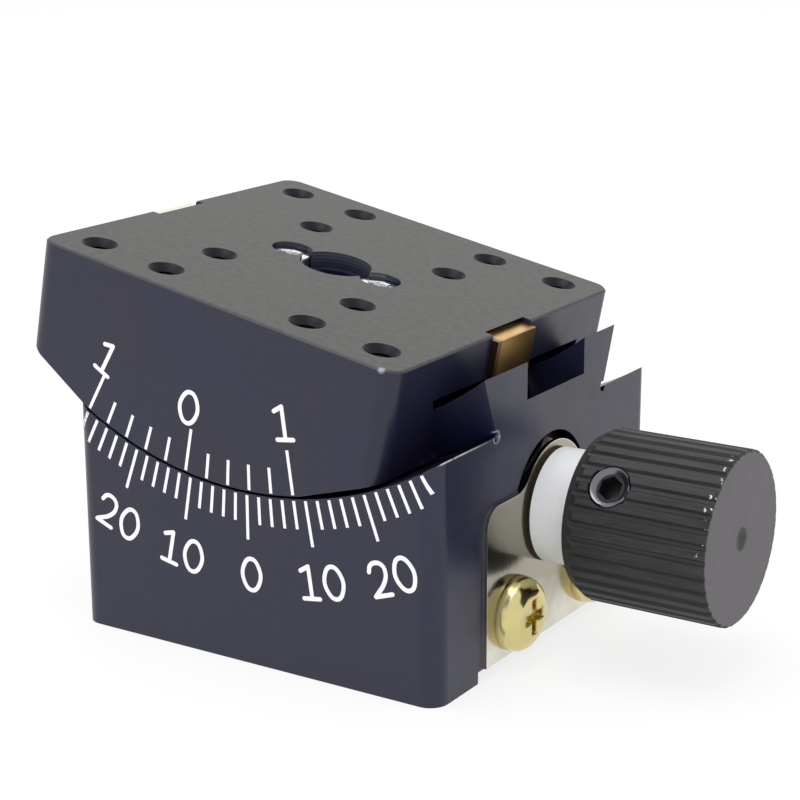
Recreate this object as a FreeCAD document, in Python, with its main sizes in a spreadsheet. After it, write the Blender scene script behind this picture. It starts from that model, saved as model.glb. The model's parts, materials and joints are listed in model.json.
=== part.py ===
import FreeCAD, Part
import Sketcher

import math
import os
import re

# A manual tilt stage: a table that rocks on an arc dovetail about an axis above it, driven by a worm.
# X runs along the scale face towards the knob, Y away from the scale face, Z up.
# The origin is the centre of the base's underside. Lengths are in millimetres, angles in degrees.

SIZES = (
    # The block that base and table share at zero tilt
    ("plan_length", 40),
    ("plan_width", 40),
    ("corner_radius", 1.8),
    ("top_height", 33),
    ("axis_above_top", 20),
    ("shown_tilt", 11),
    ("travel", 20),
    # The arc dovetail
    ("parting_radius", 36.4),
    ("parting_gap", 0.25),
    ("rail_top_gap", 0.7),
    ("rail_top_width", 24.6),
    ("rail_root_width", 20.2),
    ("root_relief", 0.9),
    ("slide_gap", 0.05),
    ("slot_front", 4.7),
    ("slot_back", 6.2),
    ("slot_floor_gap", 0.4),
    # The table
    ("edge_chamfer", 0.2),
    ("end_face_height", 10.35),
    ("end_slope", 27),
    ("grid_outer", 16),
    ("grid_inner", 8),
    ("grid_drill", 2.5),
    ("grid_depth", 6),
    ("grid_countersink", 3.4),
    ("centre_bore", 7),
    ("centre_bore_depth", 1.6),
    ("centre_recess", 5.6),
    ("centre_recess_depth", 5),
    # The gib on the back flank
    ("gib_width", 1.5),
    ("gib_margin", 0.25),
    ("gib_length", 29),
    ("gib_screw", 3),
    ("gib_screw_rise", 2.7),
    ("gib_screw_spread", 18),
    ("gib_screw_sink", 0.6),
    ("gib_screw_socket", 1.5),
    # The toothed sector and its screws
    ("tooth_module", 0.75),
    ("pitch_rise", 2.65),
    ("sector_gaps", 19),
    ("flank_gap", 0.06),
    ("tooth_root_gap", 0.19),
    ("pressure_angle", 20),
    ("sector_width", 7),
    ("sector_overhang", 0.6),
    ("sector_depth", 7.65),
    ("sector_top_depth", 0.5),
    ("pocket_gap", 0.05),
    ("sector_screw", 2),
    ("sector_screw_gap", 0.2),
    ("sector_screw_place", 5.2),
    ("sector_screw_wall", 2.2),
    ("sector_hole_run_out", 0.6),
    ("sector_head", 3.8),
    ("sector_head_height", 2),
    ("sector_head_gap", 0.2),
    ("sector_head_sink", 2.6),
    ("sector_socket", 1.5),
    ("sector_socket_depth", 1),
    # Stop pins
    ("stop_pin", 1.6),
    ("stop_place", 4.85),
    ("stop_sink", 1.8),
    ("stop_reach", 2.1),
    ("stop_gap", 0.04),
    ("stop_end_gap", 0.6),
    # The worm and its shaft
    ("worm_pitch_radius", 5.85),
    ("worm_thread_length", 10),
    ("worm_half_length", 10),
    ("worm_hub_length", 3),
    ("worm_hub", 9.2),
    ("shaft", 5),
    ("shaft_end_gap", 0.6),
    ("worm_pin", 1.5),
    ("worm_pin_sink", 0.2),
    ("worm_room", 1.6),
    ("run_gap", 0.04),
    ("worm_bore_gap", 0.3),
    ("bore_end_wall", 3.5),
    ("shaft_relief_gap", 0.7),
    ("shaft_relief_wall", 2.2),
    # Bearings
    ("thrust_washer", 0.5),
    ("rear_washer", 1.5),
    ("washer_gap", 0.6),
    ("bush_fit", 0.02),
    ("wave_washer_space", 1.9),
    ("wave_washer", 12),
    ("wave_washer_bore", 7),
    ("wave_washer_sheet", 0.3),
    # The bearing plate
    ("plate_sheet", 0.4),
    ("plate_width", 24.4),
    ("plate_bottom", 1.2),
    ("plate_shoulder_rise", 2.7),
    ("plate_corner", 2),
    ("plate_bell", 6.1),
    ("plate_bell_rise", 6.1),
    ("plate_bell_foot", 3),
    ("plate_hole_gap", 0.4),
    ("plate_screw", 4),
    ("plate_screw_length", 8),
    ("plate_hole_run_out", 1),
    ("plate_screw_place", 7.2),
    ("plate_screw_height", 5),
    ("plate_head", 7),
    ("plate_head_height", 2.1),
    ("plate_head_dome", 1.7),
    ("plate_cross", 3.4),
    ("plate_cross_width", 1),
    ("plate_cross_depth", 1.2),
    ("plate_screw_gap", 0.2),
    # Knob, grub screw and plastic spacer
    ("spacer", 10.8),
    ("spacer_gap", 0.4),
    ("spacer_length", 4.3),
    ("knob", 16),
    ("knob_length", 14),
    ("knob_band", 0.4),
    ("knob_edge", 0.25),
    ("knob_shoulder", 0.65),
    ("knob_shoulder_length", 1.2),
    ("knob_ribs", 36),
    ("rib_gap_depth", 0.3),
    ("rib_gap_width", 0.76),
    ("rib_gap_floor", 0.3),
    ("knob_bore_depth", 12),
    ("knob_bore_gap", 0.4),
    ("knob_face_mark", 2.6),
    ("knob_face_mark_depth", 0.25),
    ("grub_screw", 4),
    ("grub_screw_place", 4),
    ("grub_screw_angle", 142),
    ("grub_screw_sink", 0.5),
    ("grub_socket", 2),
    ("socket_depth", 1.5),
    # Underside of the base
    ("foot_channel_width", 26),
    ("foot_channel_height", 1.1),
    ("base_thread_depth", 7),
)

DOCUMENT = FreeCAD.newDocument("tilt_stage")
SHEET = DOCUMENT.addObject("Spreadsheet::Sheet", "sizes")
for row, (alias, number) in enumerate(SIZES, start=1):
    SHEET.set(f"A{row}", alias)
    SHEET.set(f"B{row}", str(number))
    SHEET.setAlias(f"B{row}", alias)
DOCUMENT.recompute()

ALIASES = {alias for alias, _ in SIZES}

# How far a cut runs past the metal, and what counts as no distance
MARGIN = "1"
TINY = 1e-6

# Sizes worked out from the sheet, as expressions. The sector has the number of teeth that brings its pitch
# line nearest to pitch_rise above the table's underside, and the rail, the slot and the worm follow it.
AXIS = "(top_height + axis_above_top)"
HALF_LENGTH = "(plan_length / 2)"
HALF_WIDTH = "(plan_width / 2)"
PITCH = "(pi * tooth_module)"
TEETH = "round(2 * (parting_radius - pitch_rise) / tooth_module)"
TOOTH_STEP = f"(360 / {TEETH})"
PITCH_RADIUS = f"(tooth_module * {TEETH} / 2)"
TIP_RADIUS = f"({PITCH_RADIUS} + tooth_module)"
TOOTH_DEPTH = "(2 * tooth_module + tooth_root_gap)"
ROOT_RADIUS = f"({TIP_RADIUS} - {TOOTH_DEPTH})"
SECTOR_INNER_RADIUS = "(axis_above_top + sector_depth)"
SECTOR_SCREW_DEPTH = f"({ROOT_RADIUS} - axis_above_top - sector_screw_wall)"
WORM_AXIS = f"({AXIS} - {PITCH_RADIUS} - worm_pitch_radius)"
WORM_RADIUS = "(worm_pitch_radius + tooth_module)"
WORM_BORE = f"(2 * ({WORM_RADIUS} + worm_bore_gap))"
CEILING_RADIUS = f"({PITCH_RADIUS} - tooth_module - worm_room)"
RAIL_TOP_RADIUS = f"({CEILING_RADIUS} + rail_top_gap)"
SHOULDER = "(parting_radius + parting_gap)"
FLANK_LEAN = f"((rail_top_width - rail_root_width) / 2 / ({SHOULDER} - {RAIL_TOP_RADIUS}))"
SLOT_FLOOR_RADIUS = f"({TIP_RADIUS} + slot_floor_gap)"
STOP_ANGLE = f"(travel + 2 * asin((stop_pin + stop_gap) / 2 / ({SLOT_FLOOR_RADIUS} - stop_reach)) / 1 deg)"
GIB_SCREW_RADIUS = "(parting_radius - gib_screw_rise)"
BORE_END = f"({HALF_LENGTH} - bore_end_wall)"
SHAFT_RELIEF_END = f"({HALF_LENGTH} - shaft_relief_wall)"
SHAFT_REAR_END = f"({SHAFT_RELIEF_END} - shaft_end_gap)"
FRONT_WASHER = "(worm_half_length + worm_hub_length)"
FRONT_BUSH = f"({FRONT_WASHER} + thrust_washer)"
FRONT_BUSH_END = f"({HALF_LENGTH} - wave_washer_space)"
PLATE_SHOULDER = f"({WORM_AXIS} + plate_shoulder_rise)"
PLATE_FRONT = f"({HALF_LENGTH} + plate_sheet)"
SCREW_FACE = f"({PLATE_FRONT} + plate_head_height)"
SPACER_START = f"({PLATE_FRONT} + spacer_gap)"
KNOB_START = f"({SPACER_START} + spacer_length)"
KNOB_END = f"({KNOB_START} + knob_length)"
WORM_PIN_PLACE = "(worm_half_length + worm_hub_length / 2)"


def sized(text):
    """Turns the sheet's aliases in an expression into references to its cells."""
    def cell(word):
        return f"sizes.{word[0]}" if word[0] in ALIASES else word[0]

    return re.sub(r"[a-z_]+", cell, str(text))


def size(text):
    """The present value of an expression."""
    value = SHEET.evalExpression(sized(text))
    return float(getattr(value, "Value", value))


def bind(item, **expressions):
    for name, text in expressions.items():
        item.setExpression(name, sized(text))


def new_body(label):
    body = DOCUMENT.addObject("PartDesign::Body", label)
    body.Label = label
    body.AllowCompound = True
    return body


def new_sketch(body, plane, shift=("0", "0", "0"), turn=None):
    """A sketch on one of the body's own planes, moved by shift and turned by turn = (axis, angle)."""
    sketch = body.newObject("Sketcher::SketchObject", f"{body.Name}_{plane[:2].lower()}_sketch")
    origin_plane = next(item for item in body.Origin.OriginFeatures if item.Role == plane)
    sketch.AttachmentSupport = [(origin_plane, "")]
    sketch.MapMode = "FlatFace"
    if turn:
        axis, angle = turn
        sketch.AttachmentOffset = FreeCAD.Placement(FreeCAD.Vector(), FreeCAD.Rotation(axis, size(angle)))
        sketch.setExpression("AttachmentOffset.Rotation.Angle", sized(angle))
    for letter, text in zip("xyz", shift):
        if text != "0":
            sketch.setExpression(f"AttachmentOffset.Base.{letter}", sized(text))
    return sketch


def hold_point(sketch, geometry, vertex, place):
    """Ties a point of the sketch to its place, measured from the sketch's origin."""
    for kind, text in zip(("DistanceX", "DistanceY"), place):
        number = sketch.addConstraint(Sketcher.Constraint(kind, -1, 1, geometry, vertex, size(text)))
        sketch.setExpression(f"Constraints[{number}]", sized(text))


def add_polygon(sketch, places):
    """A closed outline of straight lines through places, each a pair of expressions."""
    corners = [FreeCAD.Vector(size(x), size(y), 0) for x, y in places]
    first = sketch.GeometryCount
    count = len(corners)
    for index in range(count):
        sketch.addGeometry(Part.LineSegment(corners[index], corners[(index + 1) % count]))
    for index in range(count):
        following = first + (index + 1) % count
        sketch.addConstraint(Sketcher.Constraint("Coincident", first + index, 2, following, 1))
    for index, place in enumerate(places):
        hold_point(sketch, first + index, 1, place)


def add_rectangle(sketch, low, high):
    add_polygon(sketch, ((low[0], low[1]), (high[0], low[1]), (high[0], high[1]), (low[0], high[1])))


def add_circle(sketch, centre, diameter):
    middle = FreeCAD.Vector(size(centre[0]), size(centre[1]), 0)
    number = sketch.addGeometry(Part.Circle(middle, FreeCAD.Vector(0, 0, 1), size(diameter) / 2))
    hold_point(sketch, number, 3, centre)
    limit = sketch.addConstraint(Sketcher.Constraint("Diameter", number, size(diameter)))
    sketch.setExpression(f"Constraints[{limit}]", sized(diameter))


def add_even_polygon(sketch, centre, across_flats, sides):
    reach = f"(({across_flats}) / 2 / cos({180 / sides}))"
    turns = [(corner + 0.5) * 360 / sides for corner in range(sides)]
    add_polygon(sketch, [
        (f"{centre[0]} + {reach} * cos({turn})", f"{centre[1]} + {reach} * sin({turn})") for turn in turns
    ])


def add_hexagon(sketch, centre, across_flats):
    add_even_polygon(sketch, centre, across_flats, 6)


def feature(body, kind, sketch, **expressions):
    item = body.newObject(f"PartDesign::{kind}", f"{body.Name}_{kind.lower()}")
    item.Profile = sketch
    bind(item, **expressions)
    sketch.Visibility = False
    return item


def pad(body, sketch, length, both_sides=False, backwards=False):
    item = feature(body, "Pad", sketch, Length=length)
    item.SideType = "Symmetric" if both_sides else "One side"
    item.Reversed = backwards
    return item


def pocket(body, sketch, length, both_sides=False, backwards=False):
    item = feature(body, "Pocket", sketch, Length=length)
    item.SideType = "Symmetric" if both_sides else "One side"
    item.Reversed = backwards
    return item


def turned(body, sketch, axis="H_Axis", cut=False):
    """A full turn of a sketch about one of its own axes, added or cut."""
    item = feature(body, "Groove" if cut else "Revolution", sketch)
    item.ReferenceAxis = (sketch, [axis])
    item.Angle = 360
    return item


def around_tilt_axis(body, originals, count, spread):
    """Copies of a feature, count in all, evenly spread about the tilt axis."""
    pivot = new_sketch(body, "XZ_Plane", ("0", AXIS, "0"))
    pattern = body.newObject("PartDesign::PolarPattern", f"{body.Name}_pattern")
    pattern.Originals = originals
    pattern.Axis = (pivot, ["N_Axis"])
    pattern.Mode = "Extent"
    bind(pattern, Angle=spread, Occurrences=count)
    body.Tip = pattern
    return pattern


def mirrored(body, originals, plane):
    origin_plane = next(item for item in body.Origin.OriginFeatures if item.Role == plane)
    item = body.newObject("PartDesign::Mirrored", f"{body.Name}_mirror")
    item.Originals = originals
    item.MirrorPlane = (origin_plane, [""])
    body.Tip = item
    return item


def edges_where(body, test):
    """Names of the edges of a body's present shape that pass a test on their two ends."""
    DOCUMENT.recompute()
    names = []
    for number, edge in enumerate(body.Shape.Edges, start=1):
        ends = [vertex.Point for vertex in edge.Vertexes]
        if len(ends) == 2 and test(ends[0], ends[1]):
            names.append(f"Edge{number}")
    return names


def is_upright(one, other):
    return abs(one.x - other.x) < TINY and abs(one.y - other.y) < TINY


def fillet(body, base, names, radius):
    item = body.newObject("PartDesign::Fillet", f"{body.Name}_fillet")
    item.Base = (base, names)
    bind(item, Radius=radius)
    return item


def chamfer(body, base, names, length):
    item = body.newObject("PartDesign::Chamfer", f"{body.Name}_chamfer")
    item.Base = (base, names)
    bind(item, Size=length)
    return item


def flank(radius, out="0"):
    """Half width of the dovetail rail at a radius from the tilt axis, moved out by a distance."""
    return f"(rail_root_width / 2 + ({SHOULDER} - ({radius})) * {FLANK_LEAN} + ({out}))"


def arc_sketch(body):
    """A sketch across the stage, its origin on the tilt axis, so that -y is a radius and x is Y."""
    return new_sketch(body, "YZ_Plane", ("0", AXIS, "0"))


def add_arc_groove(body, places):
    """Cuts a section, given as (Y, radius) pairs, along the arc about the tilt axis."""
    sketch = arc_sketch(body)
    add_polygon(sketch, [(across, f"-({radius})") for across, radius in places])
    return turned(body, sketch, cut=True)


def block_plan(body, bottom, length):
    """The rounded square block that base and table are milled from."""
    sketch = new_sketch(body, "XY_Plane", ("0", "0", bottom))
    add_rectangle(sketch, (f"-{HALF_LENGTH}", f"-{HALF_WIDTH}"), (HALF_LENGTH, HALF_WIDTH))
    block = pad(body, sketch, length)
    return fillet(body, block, edges_where(body, is_upright), "corner_radius")


def stop_pin_section(body, angle, inner, outer):
    """Half the section of a stop pin that stands along a radius from the tilt axis."""
    turn = (FreeCAD.Vector(0, 0, 1), angle)
    sketch = new_sketch(body, "XZ_Plane", ("0", AXIS, "-stop_place"), turn)
    add_rectangle(sketch, ("0", f"-({outer})"), ("stop_pin / 2", f"-({inner})"))
    return sketch


def on_worm_axis(body, places, cut=False):
    """A turned form about the worm's axis from (X, radius) pairs."""
    sketch = new_sketch(body, "XZ_Plane", ("0", WORM_AXIS, "0"))
    add_polygon(sketch, places)
    return turned(body, sketch, cut=cut)


def worm_ring(label, start, length, outer, inner):
    """A plain ring on the worm's axis."""
    body = new_body(label)
    end = f"{start} + {length}"
    inner_radius = f"({inner}) / 2"
    outer_radius = f"({outer}) / 2"
    on_worm_axis(body, (
        (start, inner_radius), (end, inner_radius), (end, outer_radius), (start, outer_radius),
    ))
    return body


def place_on_tilt(body):
    """Tilts a table piece about the tilt axis to the shown position."""
    body.Placement = FreeCAD.Placement(FreeCAD.Vector(), FreeCAD.Rotation(FreeCAD.Vector(0, 1, 0), 1))
    bind(body, **{
        "Placement.Rotation.Angle": "shown_tilt",
        "Placement.Base.x": f"-{AXIS} * sin(shown_tilt)",
        "Placement.Base.z": f"{AXIS} * (1 - cos(shown_tilt))",
    })


def place_on_worm(body):
    """Turns a worm piece with the shown tilt, so that its thread stays in mesh."""
    body.Placement = FreeCAD.Placement(FreeCAD.Vector(), FreeCAD.Rotation(FreeCAD.Vector(1, 0, 0), 1))
    turn = f"shown_tilt * {TEETH}"
    bind(body, **{
        "Placement.Rotation.Angle": turn,
        "Placement.Base.y": f"{WORM_AXIS} * sin({turn})",
        "Placement.Base.z": f"{WORM_AXIS} * (1 - cos({turn}))",
    })


def base_block():
    body = new_body("base_block")
    rail_end_height = f"{AXIS} - sqrt({RAIL_TOP_RADIUS} ^ 2 - {HALF_LENGTH} ^ 2)"
    block_plan(body, "0", rail_end_height)

    # The arc dovetail rail, left standing by one cut along the arc
    edge = f"({HALF_WIDTH} + {MARGIN})"
    add_arc_groove(body, (
        (f"-{edge}", "axis_above_top"), (edge, "axis_above_top"), (edge, SHOULDER),
        (flank(SHOULDER), SHOULDER), (flank(RAIL_TOP_RADIUS), RAIL_TOP_RADIUS),
        (f"-{flank(RAIL_TOP_RADIUS)}", RAIL_TOP_RADIUS), (f"-{flank(SHOULDER)}", SHOULDER),
        (f"-{edge}", SHOULDER),
    ))

    # Reliefs along both roots of the rail
    relief = arc_sketch(body)
    for side in ("", "-"):
        add_even_polygon(relief, (f"{side}{flank(SHOULDER)}", f"-{SHOULDER}"), "root_relief", 10)
    turned(body, relief, cut=True)

    # The slot that the toothed sector and the stops run in
    add_arc_groove(body, (
        ("-slot_front", "axis_above_top"), ("slot_back", "axis_above_top"),
        ("slot_back", SLOT_FLOOR_RADIUS), ("-slot_front", SLOT_FLOOR_RADIUS),
    ))

    # The stepped bore for the worm, open at the knob end
    relief_radius = "(shaft / 2 + shaft_relief_gap)"
    on_worm_axis(body, (
        (f"-{SHAFT_RELIEF_END}", "0"), (f"{HALF_LENGTH} + {MARGIN}", "0"),
        (f"{HALF_LENGTH} + {MARGIN}", f"{WORM_BORE} / 2"), (f"-{BORE_END}", f"{WORM_BORE} / 2"),
        (f"-{BORE_END}", relief_radius), (f"-{SHAFT_RELIEF_END}", relief_radius),
    ), cut=True)

    # Threaded holes for the bearing plate's screws
    holes = new_sketch(body, "YZ_Plane", ("0", "0", HALF_LENGTH))
    for side in ("", "-"):
        add_circle(holes, (f"{side}plate_screw_place", "plate_screw_height"), "plate_screw")
    pocket(body, holes, "plate_screw_length + plate_hole_run_out")

    # Holes for the two stop pins
    section = stop_pin_section(
        body, STOP_ANGLE, f"{SLOT_FLOOR_RADIUS} - {MARGIN}", f"{SLOT_FLOOR_RADIUS} + stop_sink")
    stop_hole = turned(body, section, axis="V_Axis", cut=True)
    mirrored(body, [stop_hole], "YZ_Plane")

    # The shallow channel between the two strips that the base stands on
    channel = new_sketch(body, "XY_Plane")
    reach = f"({HALF_LENGTH} + {MARGIN})"
    add_rectangle(channel, (f"-{reach}", "-foot_channel_width / 2"), (reach, "foot_channel_width / 2"))
    pocket(body, channel, "foot_channel_height", backwards=True)

    # Threaded mounting holes in the strips
    mounts = new_sketch(body, "XY_Plane")
    for x_side in ("", "-"):
        for y_side in ("", "-"):
            add_circle(mounts, (f"{x_side}grid_outer", f"{y_side}grid_outer"), "grid_drill")
    pocket(body, mounts, "base_thread_depth", backwards=True)
    return body


def bearing_plate():
    body = new_body("bearing_plate")
    start = ("0", "0", HALF_LENGTH)
    sketch = new_sketch(body, "YZ_Plane", start)
    add_rectangle(sketch, ("-plate_width / 2", "plate_bottom"), ("plate_width / 2", PLATE_SHOULDER))
    sheet = pad(body, sketch, "plate_sheet")
    top = size(PLATE_SHOULDER)
    corners = edges_where(
        body, lambda one, other: min(one.z, other.z) > top - TINY and abs(one.x - other.x) > TINY)
    fillet(body, sheet, corners, "plate_corner")

    # The bell over the shaft, joined to the shoulders by a hollow curve
    lobe = new_sketch(body, "YZ_Plane", start)
    add_circle(lobe, ("0", f"{WORM_AXIS} + plate_bell_rise - plate_bell"), "2 * plate_bell")
    bell = pad(body, lobe, "plate_sheet")
    reach = size("plate_width / 2 - plate_corner")
    feet = edges_where(
        body, lambda one, other: abs(one.x - other.x) > TINY and abs(one.y - other.y) < TINY
        and abs(one.z - top) < TINY and abs(one.y) < reach - TINY)
    fillet(body, bell, feet, "plate_bell_foot")

    holes = new_sketch(body, "YZ_Plane", ("0", "0", PLATE_FRONT))
    add_circle(holes, ("0", WORM_AXIS), "shaft + 2 * plate_hole_gap")
    screw_hole = "plate_screw + 2 * plate_screw_gap"
    for side in ("", "-"):
        add_circle(holes, (f"{side}plate_screw_place", "plate_screw_height"), screw_hole)
    pocket(body, holes, "plate_sheet")
    return body


def bearing_plate_screws():
    """Two cross recessed pan head screws."""
    body = new_body("bearing_plate_screws")
    sketch = new_sketch(body, "XY_Plane", ("0", "-plate_screw_place", "plate_screw_height"))
    steps = 4
    dome = []
    for step in range(steps + 1):
        turn = 90 * step / steps
        dome.append((
            f"{SCREW_FACE} - plate_head_dome * (1 - cos({turn}))",
            f"plate_head / 2 - plate_head_dome * (1 - sin({turn}))",
        ))
    add_polygon(sketch, (
        (f"{HALF_LENGTH} - plate_screw_length", "0"), (SCREW_FACE, "0"), *dome,
        (PLATE_FRONT, "plate_head / 2"), (PLATE_FRONT, "plate_screw / 2"),
        (f"{HALF_LENGTH} - plate_screw_length", "plate_screw / 2"),
    ))
    screw = turned(body, sketch)
    recess = new_sketch(body, "YZ_Plane", ("0", "0", SCREW_FACE))
    for wide, tall in (("plate_cross", "plate_cross_width"), ("plate_cross_width", "plate_cross")):
        add_rectangle(
            recess,
            (f"-plate_screw_place - {wide} / 2", f"plate_screw_height - {tall} / 2"),
            (f"-plate_screw_place + {wide} / 2", f"plate_screw_height + {tall} / 2"),
        )
    cross = pocket(body, recess, "plate_cross_depth")
    mirrored(body, [screw, cross], "XZ_Plane")
    return body


def base_stop_pins():
    body = new_body("base_stop_pins")
    section = stop_pin_section(
        body, STOP_ANGLE, f"{SLOT_FLOOR_RADIUS} - stop_reach", f"{SLOT_FLOOR_RADIUS} + stop_sink")
    pin = turned(body, section, axis="V_Axis")
    mirrored(body, [pin], "YZ_Plane")
    return body


def stage_table():
    body = new_body("stage_table")
    rounded = block_plan(body, f"{AXIS} - parting_radius", "parting_radius - axis_above_top")
    top = size("top_height")
    rim = edges_where(body, lambda one, other: min(one.z, other.z) > top - TINY)
    chamfer(body, rounded, rim, "edge_chamfer")

    # The underside follows the parting arc
    edge = f"({HALF_WIDTH} + {MARGIN})"
    add_arc_groove(body, (
        (f"-{edge}", "parting_radius"), (edge, "parting_radius"), (edge, AXIS), (f"-{edge}", AXIS),
    ))

    # The dovetail way, wider at the back by the gib
    below = f"(parting_radius + {MARGIN})"
    gib_side = "slide_gap + gib_width"
    add_arc_groove(body, (
        (f"-{flank(CEILING_RADIUS, 'slide_gap')}", CEILING_RADIUS),
        (flank(CEILING_RADIUS, gib_side), CEILING_RADIUS),
        (flank(below, gib_side), below), (f"-{flank(below, 'slide_gap')}", below),
    ))

    # The seat of the toothed sector, which breaks out at both ends of the top
    side = "(sector_width / 2 + pocket_gap)"
    seat = f"({SECTOR_INNER_RADIUS} - pocket_gap)"
    add_arc_groove(body, (
        (f"-{side}", seat), (side, seat), (side, "parting_radius"), (f"-{side}", "parting_radius"),
    ))

    # Sloped ends below the end faces
    slopes = new_sketch(body, "XZ_Plane", ("0", "top_height - end_face_height", "0"))
    for end in ("", "-"):
        add_polygon(slopes, (
            (f"{end}{HALF_LENGTH}", "0"), (f"{end}({HALF_LENGTH} + {MARGIN})", "0"),
            (f"{end}({HALF_LENGTH} + {MARGIN})", f"-{HALF_LENGTH} * tan(end_slope)"),
            ("0", f"-{HALF_LENGTH} * tan(end_slope)"),
        ))
    pocket(body, slopes, f"plan_width + 2 * {MARGIN}", both_sides=True)

    # Twelve threaded holes in the top
    grid = new_sketch(body, "XY_Plane", ("0", "0", "top_height"))
    sinks = new_sketch(body, "XY_Plane", ("0", "0", "top_height"))
    places = (("grid_outer", "grid_outer"), ("grid_inner", "grid_outer"), ("grid_inner", "grid_inner"))
    for x_place, y_place in places:
        for x_side in ("", "-"):
            for y_side in ("", "-"):
                place = (f"{x_side}{x_place}", f"{y_side}{y_place}")
                add_circle(grid, place, "grid_drill")
                add_circle(sinks, place, "grid_countersink")
    pocket(body, grid, "grid_depth")
    sink = pocket(body, sinks, "(grid_countersink - grid_drill) / 2")
    sink.TaperAngle = -45

    # The centre bore and its deeper recess
    centre = new_sketch(body, "XY_Plane", ("0", "0", "top_height"))
    add_circle(centre, ("0", "0"), "centre_bore")
    pocket(body, centre, "centre_bore_depth")
    recess = new_sketch(body, "XY_Plane", ("0", "0", "top_height"))
    add_circle(recess, ("0", "0"), "centre_recess")
    pocket(body, recess, "centre_recess_depth")

    # Counterbored holes for the sector's screws
    heads = new_sketch(body, "XY_Plane", ("0", "0", "top_height"))
    shanks = new_sketch(body, "XY_Plane", ("0", "0", "top_height"))
    for end in ("", "-"):
        add_circle(heads, (f"{end}sector_screw_place", "0"), "sector_head + sector_head_gap")
        add_circle(shanks, (f"{end}sector_screw_place", "0"), "sector_screw + sector_screw_gap")
    pocket(body, heads, "sector_head_sink + sector_head_height")
    pocket(body, shanks, f"{SECTOR_INNER_RADIUS} - axis_above_top")

    # Threaded holes for the gib's screws, through the back flange
    gib_holes = new_sketch(
        body, "XZ_Plane", ("0", AXIS, f"-{HALF_WIDTH}"), (FreeCAD.Vector(0, 0, 1), "-gib_screw_spread"))
    add_circle(gib_holes, ("0", f"-{GIB_SCREW_RADIUS}"), "gib_screw")
    hole = pocket(body, gib_holes, f"{HALF_WIDTH} - {flank(GIB_SCREW_RADIUS)}", backwards=True)
    around_tilt_axis(body, [hole], "3", "2 * gib_screw_spread")

    # The hole for the stop pin in the ceiling of the way
    section = stop_pin_section(body, "0", f"{CEILING_RADIUS} - stop_sink", f"{CEILING_RADIUS} + {MARGIN}")
    turned(body, section, axis="V_Axis", cut=True)
    place_on_tilt(body)
    return body


def table_stop_pin():
    body = new_body("table_stop_pin")
    section = stop_pin_section(
        body, "0", f"{CEILING_RADIUS} - stop_sink", f"{SLOT_FLOOR_RADIUS} - stop_end_gap")
    turned(body, section, axis="V_Axis")
    place_on_tilt(body)
    return body


def worm_sector():
    """The brass arc: flat on top at its ends, toothed below."""
    body = new_body("worm_sector")
    sketch = new_sketch(body, "XZ_Plane", ("0", AXIS, "0"))
    top = "-(axis_above_top + sector_top_depth)"
    end = f"({HALF_LENGTH} + sector_overhang)"
    add_rectangle(sketch, (f"-{end}", f"-{TIP_RADIUS}"), (end, top))
    pad(body, sketch, "sector_width", both_sides=True)
    edge = f"(sector_width / 2 + {MARGIN})"
    add_arc_groove(body, ((f"-{edge}", TIP_RADIUS), (edge, TIP_RADIUS), (edge, AXIS), (f"-{edge}", AXIS)))
    add_arc_groove(body, (
        (f"-{edge}", "axis_above_top / 2"), (edge, "axis_above_top / 2"), (edge, SECTOR_INNER_RADIUS),
        (f"-{edge}", SECTOR_INNER_RADIUS),
    ))

    # Threaded holes for its screws
    holes = new_sketch(body, "XY_Plane", ("0", "0", "top_height"))
    for end in ("", "-"):
        add_circle(holes, (f"{end}sector_screw_place", "0"), "sector_screw")
    pocket(body, holes, f"{SECTOR_SCREW_DEPTH} + sector_hole_run_out")

    # Tooth gaps, slanted by the worm's lead angle
    first = f"-{TOOTH_STEP} * (sector_gaps - 1) / 2"
    gap = new_sketch(body, "XZ_Plane", ("0", AXIS, "0"), (FreeCAD.Vector(0, 0, 1), first))
    half = f"({PITCH} / 4 + flank_gap)"
    spread = "tan(pressure_angle)"
    out = f"({TIP_RADIUS} + tooth_module)"
    at_root = f"({half} - ({PITCH_RADIUS} - {ROOT_RADIUS}) * {spread})"
    at_out = f"({half} + ({out} - {PITCH_RADIUS}) * {spread})"
    add_polygon(gap, (
        (f"-{at_out}", f"-{out}"), (at_out, f"-{out}"), (at_root, f"-{ROOT_RADIUS}"),
        (f"-{at_root}", f"-{ROOT_RADIUS}"),
    ))
    cut = pocket(body, gap, f"2 * {edge}", both_sides=True)
    cut.UseCustomVector = True
    cut.AlongSketchNormal = True
    slant = "(tooth_module / 2 / worm_pitch_radius)"
    bind(cut, **{
        "Direction.x": f"-{slant} * cos({first})",
        "Direction.y": "1",
        "Direction.z": f"{slant} * sin({first})",
    })
    around_tilt_axis(body, [cut], "sector_gaps", f"{TOOTH_STEP} * (sector_gaps - 1)")
    place_on_tilt(body)
    return body


def sector_screws():
    """Two socket head screws, sunk in the top of the table."""
    body = new_body("sector_screws")
    under = "top_height - sector_head_sink - sector_head_height"
    sketch = new_sketch(body, "XZ_Plane", ("sector_screw_place", under, "0"))
    end = f"-({SECTOR_SCREW_DEPTH} - sector_head_sink - sector_head_height)"
    add_polygon(sketch, (
        ("0", end), ("sector_screw / 2", end), ("sector_screw / 2", "0"), ("sector_head / 2", "0"),
        ("sector_head / 2", "sector_head_height"), ("0", "sector_head_height"),
    ))
    screw = turned(body, sketch, axis="V_Axis")
    face = new_sketch(body, "XY_Plane", ("0", "0", f"{under} + sector_head_height"))
    add_hexagon(face, ("sector_screw_place", "0"), "sector_socket")
    socket = pocket(body, face, "sector_socket_depth")
    mirrored(body, [screw, socket], "YZ_Plane")
    place_on_tilt(body)
    return body


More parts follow.
